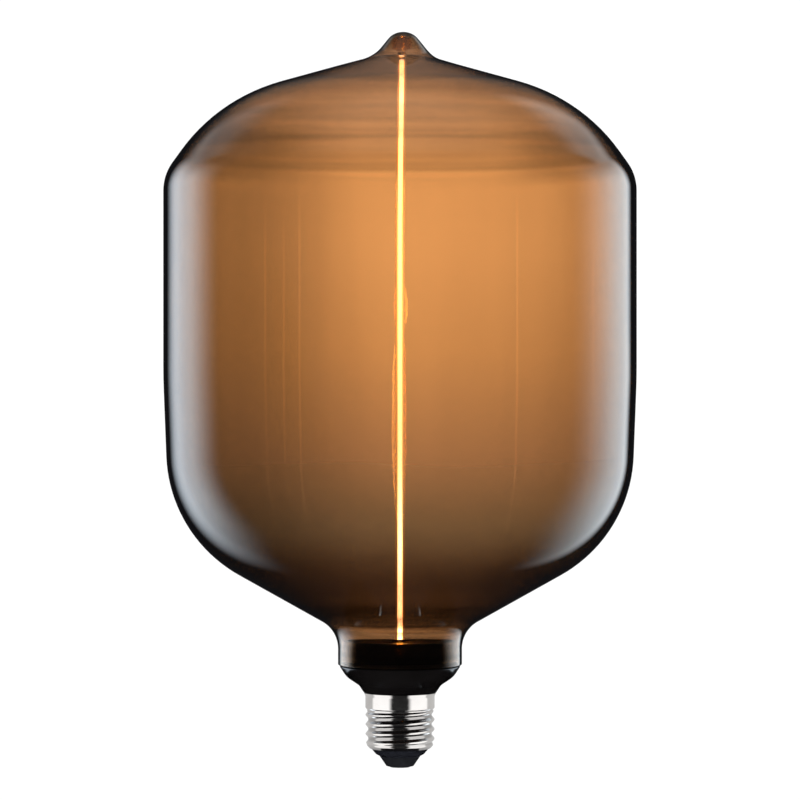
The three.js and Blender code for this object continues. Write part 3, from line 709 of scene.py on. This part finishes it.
# Base housing
# One black moulding: a spigot in the cap, a bowl up to the glass and a ribbed plug inside the neck, hollow
# for the driver. It is injection moulded in glossy black plastic, and cemented to the glass.
mould_low, mould_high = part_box("base_housing")
shell_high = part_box("screw_shell")[1]
seal_low, seal_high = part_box("neck_adhesive")
gap = 0.35 * mm
plug_radius = seal_high.x
rib_depth = 0.7 * mm
rib_pitch = 1.6 * mm
moulding_wall = 1.7 * mm
lid_thickness = 1.4 * mm
seal_thickness = 1.1 * mm
flare = 0.5 * mm
sheet = 0.5 * mm
hollow_radius = plug_radius - rib_depth - moulding_wall
cover_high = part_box("neck_cover")[1]
spigot_radius = shell_high.x - flare - sheet - gap
ledge = neck_end - gap
seat = plug_radius - seal_thickness - gap / 2
rim = 0.25 * mm


def rib_corners():
    """Flat ribs and the rounded valleys between them, one pair to each rib_pitch, from the seal up to the
    plug's top edge."""
    start = seal_high.z + gap
    count = int((mould_high.z - start) / rib_pitch)
    feet = start + np.arange(count) * rib_pitch
    valley = plug_radius - rib_depth
    ribs = []
    for foot in feet:
        ribs += [
            (plug_radius, foot + 0.02 * rib_pitch, 0.3 * mm),
            (plug_radius, foot + 0.38 * rib_pitch, 0.3 * mm),
            (valley, foot + 0.58 * rib_pitch, 0.2 * mm),
            (valley, foot + 0.86 * rib_pitch, 0.2 * mm),
        ]
    return ribs


mould_outline = rounded(
    [
        (spigot_radius - moulding_wall, mould_low.z, 0.2 * mm),
        (spigot_radius, mould_low.z, 0.3 * mm),
        (spigot_radius, shell_high.z + gap),
        (shell_high.x + rim, shell_high.z + gap, 0.3 * mm),
        (shell_high.x + 1.9 * mm, 31.2 * mm, 3 * mm),
        (neck_radius - 3.2 * mm, 34.4 * mm, 8 * mm),
        (neck_radius - 0.5 * mm, ledge, 0.3 * mm),
        (seat, ledge, 0.1 * mm),
        (seat, seal_high.z + gap, 0.1 * mm),
        *rib_corners(),
        (plug_radius - rib_depth, mould_high.z, 0.3 * mm),
        (hollow_radius + 0.8 * mm, mould_high.z, 0.15 * mm),
        (hollow_radius + 0.8 * mm, cover_high.z - lid_thickness - gap),
        (hollow_radius, cover_high.z - lid_thickness - gap, 0.1 * mm),
        (hollow_radius, ledge - gap, 1 * mm),
        (hollow_radius - 1.4 * mm, 36.6 * mm, 1 * mm),
        (spigot_radius - moulding_wall, 31.2 * mm + gap, 1 * mm),
    ],
    closed=True,
    turn=9,
)
housing = turned("base_moulding", mould_outline, sides=144, closed=True, smooth_angle=50)


def new_group(name, inputs, outputs):
    """An empty shader node group with number inputs, given with their defaults, and number outputs."""
    group = bpy.data.node_groups.new(name, "ShaderNodeTree")
    group.interface.new_socket("Place", in_out="INPUT", socket_type="NodeSocketVector")
    for socket, default in inputs.items():
        made = group.interface.new_socket(socket, in_out="INPUT", socket_type="NodeSocketFloat")
        made.default_value = default
    for socket in outputs:
        group.interface.new_socket(socket, in_out="OUTPUT", socket_type="NodeSocketFloat")
    return group, group.nodes.new("NodeGroupInput"), group.nodes.new("NodeGroupOutput")


# Moulded grain: a fine even grain for bump, and a slow cloudiness for roughness
grain, given, result = new_group("moulded_grain", {"Cells": 900.0, "Clouds": 60.0}, ("Height", "Cloud"))
for cells, detail, output in (("Cells", 3.0, "Height"), ("Clouds", 2.0, "Cloud")):
    node = grain.nodes.new("ShaderNodeTexNoise")
    node.inputs["Detail"].default_value = detail
    link(grain, given.outputs["Place"], node.inputs["Vector"])
    link(grain, given.outputs[cells], node.inputs["Scale"])
    link(grain, node.outputs["Fac"], result.inputs[output])


def moulded(name, dark, light, smooth, rough, cells=900.0, **plain):
    """A moulded surface: colour from dark to light and roughness from smooth to rough with the slow clouds,
    and the fine grain as bump."""
    material, tree, shader = surface(name, **plain)
    place = object_place(tree)[0]
    group = tree.nodes.new("ShaderNodeGroup")
    group.node_tree = grain
    group.inputs["Cells"].default_value = cells
    link(tree, place, group.inputs["Place"])
    cloud = group.outputs["Cloud"]
    link(tree, colour_ramp(tree, cloud, {0.3: dark, 0.7: light}), shader.inputs["Base Color"])
    link(tree, slope_between(tree, cloud, 0.3, 0.7, smooth, rough), shader.inputs["Roughness"])
    bumped(tree, shader, group.outputs["Height"], 0.4, 0.02 * mm)
    return material


black_plastic = moulded(
    "black_moulding", (0.0035, 0.003, 0.003), (0.007, 0.006, 0.006), 0.10, 0.18, specular_ior_level=0.5
)
mould_tree = black_plastic.node_tree
polish = step_between(mould_tree, object_place(mould_tree)[3], ledge, seal_high.z, 0.5, 1.0)
link(mould_tree, polish, mould_tree.nodes["Principled BSDF"].inputs["Specular IOR Level"])
housing.data.materials.append(black_plastic)
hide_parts("base_housing")
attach(housing, "root")

# Neck cover, adhesive and grommet
# A flat moulded lid closes the plug over the driver, a bead of black silicone bonds the plug to the glass,
# and a rubber grommet in the lid's hub grips the tube.
cover_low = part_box("neck_cover")[0]
grommet_low, grommet_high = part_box("tube_grommet")
grip_thickness = 0.9 * mm
hub_bore = tube_radius + gap + grip_thickness + gap
cover_outline = rounded(
    [
        (hub_bore, cover_low.z, 0.2 * mm),
        (hub_bore + 1.3 * mm, cover_low.z, 0.2 * mm),
        (hub_bore + 1.3 * mm, cover_high.z - lid_thickness, 0.4 * mm),
        (cover_high.x, cover_high.z - lid_thickness, 0.1 * mm),
        (cover_high.x, cover_high.z, 0.3 * mm),
        (cover_high.x - 2.2 * mm, cover_high.z, 0.2 * mm),
        (cover_high.x - 2.6 * mm, cover_high.z - 0.35 * mm, 0.2 * mm),
        (hub_bore + 3.4 * mm, cover_high.z - 0.35 * mm, 0.2 * mm),
        (hub_bore + 3.0 * mm, cover_high.z, 0.2 * mm),
        (hub_bore, cover_high.z, 0.15 * mm),
    ],
    closed=True,
    turn=15,
)
cover = turned("neck_lid", cover_outline, sides=96, closed=True)
cover.data.materials.append(moulded("dark_lid", (0.012, 0.010, 0.009), (0.024, 0.020, 0.017), 0.35, 0.5))
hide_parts("neck_cover")
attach(cover, "root")

bead_outline = rounded(
    [
        (plug_radius - seal_thickness + gap / 2, seal_low.z, 0.3 * mm),
        (plug_radius, seal_low.z, 0.4 * mm),
        (plug_radius, seal_high.z, 0.4 * mm),
        (plug_radius - seal_thickness + gap / 2, seal_high.z, 0.3 * mm),
    ],
    closed=True,
    turn=15,
)
bead = turned("adhesive_bead", bead_outline, sides=96, closed=True)
black_silicone = moulded("black_silicone", (0.010, 0.010, 0.010), (0.022, 0.021, 0.020), 0.5, 0.7, 600.0)
bead.data.materials.append(black_silicone)
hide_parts("neck_adhesive")
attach(bead, "root")

grip_radius = tube_radius + gap
grommet_outline = rounded(
    [
        (grip_radius, grommet_low.z, 0.2 * mm),
        (grip_radius + grip_thickness, grommet_low.z, 0.2 * mm),
        (grip_radius + grip_thickness, cover_high.z + gap, 0.1 * mm),
        (grommet_high.x, cover_high.z + gap, 0.15 * mm),
        (grommet_high.x - 0.5 * mm, grommet_high.z, 0.3 * mm),
        (grip_radius, grommet_high.z, 0.2 * mm),
    ],
    closed=True,
    turn=15,
)
grommet = turned("tube_grip", grommet_outline, sides=64, closed=True)
grommet.data.materials.append(black_silicone)
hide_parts("tube_grommet")
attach(grommet, "root")

# Screw shell
# The E27 cap: nickel-plated brass sheet, drawn to a cup and rolled so that the thread shows on both faces.
# Its open rim is flared, and it is crimped to the base.
shell_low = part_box("screw_shell")[0]
pitch = 3.629 * mm
thread_depth = 1.05 * mm
thread_mean = 26.3 * mm / 2 - thread_depth / 2
thread_low, thread_high = 8.3 * mm, 22.1 * mm
band_radius = shell_high.x - flare
shell_side = [
    (thread_mean - thread_depth, shell_low.z, 0),
    (thread_mean, thread_low, 0.8 * mm),
    (thread_mean, thread_high, 0.4 * mm),
    (band_radius, thread_high + thread_depth / 2, 0.5 * mm),
    (band_radius, shell_high.z - 1.3 * mm, 1.4 * mm),
    (shell_high.x, shell_high.z, 0),
]
outer_face = spaced(rounded(shell_side, turn=10), 0.14 * mm)
inner_face = spaced(rounded(inset(shell_side, sheet), turn=10), 0.14 * mm)[::-1]


def rolled_thread(angles, radii, heights):
    """A right-hand round thread: the radius gains half the depth times a cosine of one turn for each pitch,
    a little fuller at the crests, and it fades in and out over half a turn."""
    phase = 2 * math.pi * heights / pitch - angles
    wave = np.cos(phase) + 0.1 * np.cos(2 * phase) - 0.1
    left = np.minimum(heights - thread_low, thread_high - heights) / (0.5 * pitch)
    strength = np.clip(left, 0, 1)
    strength = strength**2 * (3 - 2 * strength)
    return radii + strength * thread_depth / 2 * wave


shell_outline = np.concatenate([outer_face, inner_face])
shell = turned("screw_cap", shell_outline, sides=160, closed=True, swell=rolled_thread, smooth_angle=60)

nickel, tree, shader = surface("nickel_plate", metallic=1.0)
place, x, y, _ = object_place(tree)
rubbed = noise(tree, place, 260, 4, stretch=(1, 1, 3.0))
cloud = noise(tree, place, 90, 2)
link(tree, slope_between(tree, rubbed, 0.3, 0.75, 0.07, 0.17), shader.inputs["Roughness"])
plate = colour_ramp(tree, cloud, {0.3: (0.70, 0.67, 0.65), 0.7: (0.82, 0.80, 0.78)})
# Painted shade: the plate is darker, down to 0.6, in the thread's grooves, where shade falls
radius = math_node(tree, "SQRT", math_node(tree, "ADD", times(tree, x, x), times(tree, y, y)))
groove_shade = step_between(tree, radius, 12.0 * mm, 12.95 * mm, 0.6, 1.0)
link(tree, scaled(tree, plate, groove_shade), shader.inputs["Base Color"])
bumped(tree, shader, noise(tree, place, 700, 3, stretch=(0.5, 0.5, 2.5)), 0.25, 0.02 * mm)
shell.data.materials.append(nickel)
card_sees.objects.link(shell)
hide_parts("screw_shell")
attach(shell, "root")

# Cap insulator
# Black vitreous insulator that closes the cap's end: a glossy dome under the shell's lip, and below it a
# matt truncated cone. It is cast in the shell and keeps the two contacts apart.
insulator_low, insulator_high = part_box("cap_insulator")
contact_low, contact_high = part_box("centre_contact")
contact_thickness = 0.95 * mm
rivet_radius = 1.2 * mm
shell_bore = thread_mean - thread_depth - sheet - gap
dish_floor = 4.6 * mm
insulator_outline = rounded(
    [
        (contact_high.x + gap, insulator_low.z, 0.15 * mm),
        (5.15 * mm, insulator_low.z, 0.5 * mm),
        (7.55 * mm, 3.9 * mm, 0.15 * mm),
        (7.8 * mm, 4.3 * mm, 0.2 * mm),
        (9.2 * mm, 5.0 * mm, 2.2 * mm),
        (shell_bore, shell_low.z - gap, 0.5 * mm),
        (insulator_high.x - gap, insulator_high.z, 0.2 * mm),
        (insulator_high.x - 1.6 * mm - gap, insulator_high.z, 0.2 * mm),
        (6.1 * mm, dish_floor, 0.5 * mm),
        (rivet_radius + gap, dish_floor, 0.2 * mm),
        (rivet_radius + gap, contact_thickness + gap, 0.1 * mm),
        (contact_high.x + gap, contact_thickness + gap, 0.05 * mm),
    ],
    closed=True,
    turn=8,
)
insulator = turned("cap_glass", insulator_outline, sides=128, closed=True, smooth_angle=35)

vitrite, tree, shader = surface("vitreous_black", coat_roughness=0.06)
place, *_, z = object_place(tree)
above = step_between(tree, z, 3.9 * mm, 4.4 * mm)
link(tree, above, shader.inputs["Coat Weight"])
grainy = noise(tree, place, 500, 3)
enamel = colour_ramp(tree, grainy, {0.3: (0.010, 0.011, 0.015), 0.7: (0.017, 0.018, 0.024)})
link(tree, enamel, shader.inputs["Base Color"])
link(tree, slope_between(tree, above, 0.0, 1.0, 0.5, 0.12), shader.inputs["Roughness"])
bumped(tree, shader, noise(tree, place, 1400, 3), 0.35, 0.03 * mm)
insulator.data.materials.append(vitrite)
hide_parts("cap_insulator")
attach(insulator, "root")

# Centre contact
# A nickel-plated brass eyelet riveted up through the insulator. The live lead is soldered in it, and the
# face is left slightly dished and dulled by the solder.
contact_outline = rounded(
    [
        (0, contact_low.z),
        (1.3 * mm, contact_low.z, 0.1 * mm),
        (1.5 * mm, contact_low.z + 0.06 * mm, 0.1 * mm),
        (2.0 * mm, contact_low.z + 0.06 * mm, 0.1 * mm),
        (2.2 * mm, contact_low.z, 0.1 * mm),
        (contact_high.x - 0.3 * mm, contact_low.z, 0.3 * mm),
        (contact_high.x, contact_low.z + 0.45 * mm, 0.25 * mm),
        (contact_high.x, contact_low.z + contact_thickness, 0.1 * mm),
        (rivet_radius, contact_low.z + contact_thickness, 0.1 * mm),
        (rivet_radius, contact_high.z, 0.2 * mm),
        (0, contact_high.z),
    ],
    turn=15,
)
contact = turned("contact_eyelet", contact_outline, sides=96)
tinned, tree, shader = surface("tinned_contact", metallic=1.0)
place = object_place(tree)[0]
dull = colour_ramp(tree, noise(tree, place, 420, 4), {0.3: (0.52, 0.51, 0.49), 0.7: (0.70, 0.69, 0.66)})
link(tree, dull, shader.inputs["Base Color"])
worn = slope_between(tree, noise(tree, place, 700, 3), 0.0, 1.0, 0.2, 0.45)
link(tree, worn, shader.inputs["Roughness"])
bumped(tree, shader, noise(tree, place, 900, 3), 0.3, 0.04 * mm)
contact.data.materials.append(tinned)
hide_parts("centre_contact")
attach(contact, "root")

# Filament tabs and return wire
# A nickel tab is welded to either end of the strip, and a thin copper wire brings the current back down the
# tube behind it.
def metal(name, dark, light, smooth, rough, cells=700.0):
    """A metal whose colour and roughness wander with soft noise, with a fine drawn grain as bump."""
    material, tree, shader = surface(name, metallic=1.0)
    place = object_place(tree)[0]
    cloud = noise(tree, place, cells / 4, 3)
    link(tree, colour_ramp(tree, cloud, {0.3: dark, 0.7: light}), shader.inputs["Base Color"])
    link(tree, step_between(tree, cloud, 0.3, 0.7, smooth, rough), shader.inputs["Roughness"])
    bumped(tree, shader, noise(tree, place, cells, 3, stretch=(1, 1, 0.2)), 0.3, 0.02 * mm)
    return material


def finish(node, material):
    """Gives a CAD node that stays as it is this material."""
    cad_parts[node].material_slots[0].material = material


tab_colours = ((0.50, 0.48, 0.45), (0.66, 0.64, 0.61))
finish("filament_tab_upper", metal("tab_nickel", *tab_colours, 0.2, 0.35))
finish("filament_tab_lower", metal("tab_nickel_low", *tab_colours, 0.2, 0.35))
finish("return_wire", metal("return_copper", (0.60, 0.27, 0.13), (0.78, 0.40, 0.22), 0.18, 0.3))

# Driver board
# A narrow glass-epoxy board stands on edge in the plug and the spigot. Its green solder mask shows the weave
# faintly. The radio board beside it carries the tinned shield and the etched antenna.
threads_per_metre = 9000.0


def board(name, dark, light):
    """Solder mask over woven glass: two crossed sets of fine waves as bump, cloudy green as colour."""
    material, tree, shader = surface(name)
    place, x, _, z = object_place(tree)
    waves = [math_node(tree, "SINE", times(tree, along, threads_per_metre)) for along in (x, z)]
    cloud = noise(tree, place, 160, 3)
    link(tree, colour_ramp(tree, cloud, {0.3: dark, 0.7: light}), shader.inputs["Base Color"])
    link(tree, step_between(tree, cloud, 0.3, 0.7, 0.3, 0.45), shader.inputs["Roughness"])
    bumped(tree, shader, times(tree, *waves), 0.2, 0.02 * mm)
    return material


finish("driver_board", board("board_mask", (0.008, 0.060, 0.022), (0.014, 0.095, 0.036)))
finish("radio_board", board("radio_mask", (0.007, 0.050, 0.020), (0.012, 0.080, 0.032)))
finish("radio_shield", metal("shield_tin", (0.55, 0.54, 0.52), (0.70, 0.69, 0.67), 0.2, 0.34))
finish("radio_antenna", metal("antenna_copper", (0.62, 0.30, 0.14), (0.80, 0.44, 0.24), 0.2, 0.34))

# Driver parts
# Bought parts soldered to the board: a sleeved capacitor, a lacquered varistor and resistor, a wound choke,
# a foil capacitor in yellow tape, and moulded chips.
driver_parts = {
    "reservoir_capacitor": ("capacitor_sleeve", (0.010, 0.012, 0.018), (0.020, 0.024, 0.034), 0.22, 0.36),
    "surge_varistor": ("varistor_lacquer", (0.012, 0.075, 0.22), (0.020, 0.12, 0.32), 0.3, 0.45),
    "choke_core": ("choke_ferrite", (0.018, 0.018, 0.019), (0.045, 0.044, 0.043), 0.5, 0.7),
    "film_capacitor": ("film_tape", (0.62, 0.46, 0.05), (0.78, 0.60, 0.09), 0.25, 0.4),
    "fusible_resistor": ("resistor_lacquer", (0.42, 0.28, 0.14), (0.56, 0.40, 0.22), 0.3, 0.45),
    "bridge_rectifier": ("rectifier_epoxy", (0.010, 0.010, 0.011), (0.024, 0.024, 0.025), 0.45, 0.62),
    "driver_chip": ("chip_epoxy", (0.010, 0.010, 0.011), (0.026, 0.026, 0.027), 0.45, 0.62),
}
for node, look in driver_parts.items():
    finish(node, moulded(*look))
finish("choke_winding", metal("choke_copper", (0.50, 0.18, 0.07), (0.72, 0.32, 0.14), 0.2, 0.36))

# Leads
# Stranded wire in coloured silicone sleeving: two leads run down to the cap, and two up to the filament.
red = ((0.36, 0.012, 0.010), (0.50, 0.024, 0.018))
white = ((0.62, 0.61, 0.58), (0.76, 0.75, 0.72))
finish("live_lead", moulded("sleeve_red", *red, 0.35, 0.5))
finish("filament_lead_positive", moulded("sleeve_red_upper", *red, 0.35, 0.5))
finish("neutral_lead", moulded("sleeve_white", *white, 0.35, 0.5))
finish("filament_lead_negative", moulded("sleeve_white_upper", *white, 0.35, 0.5))
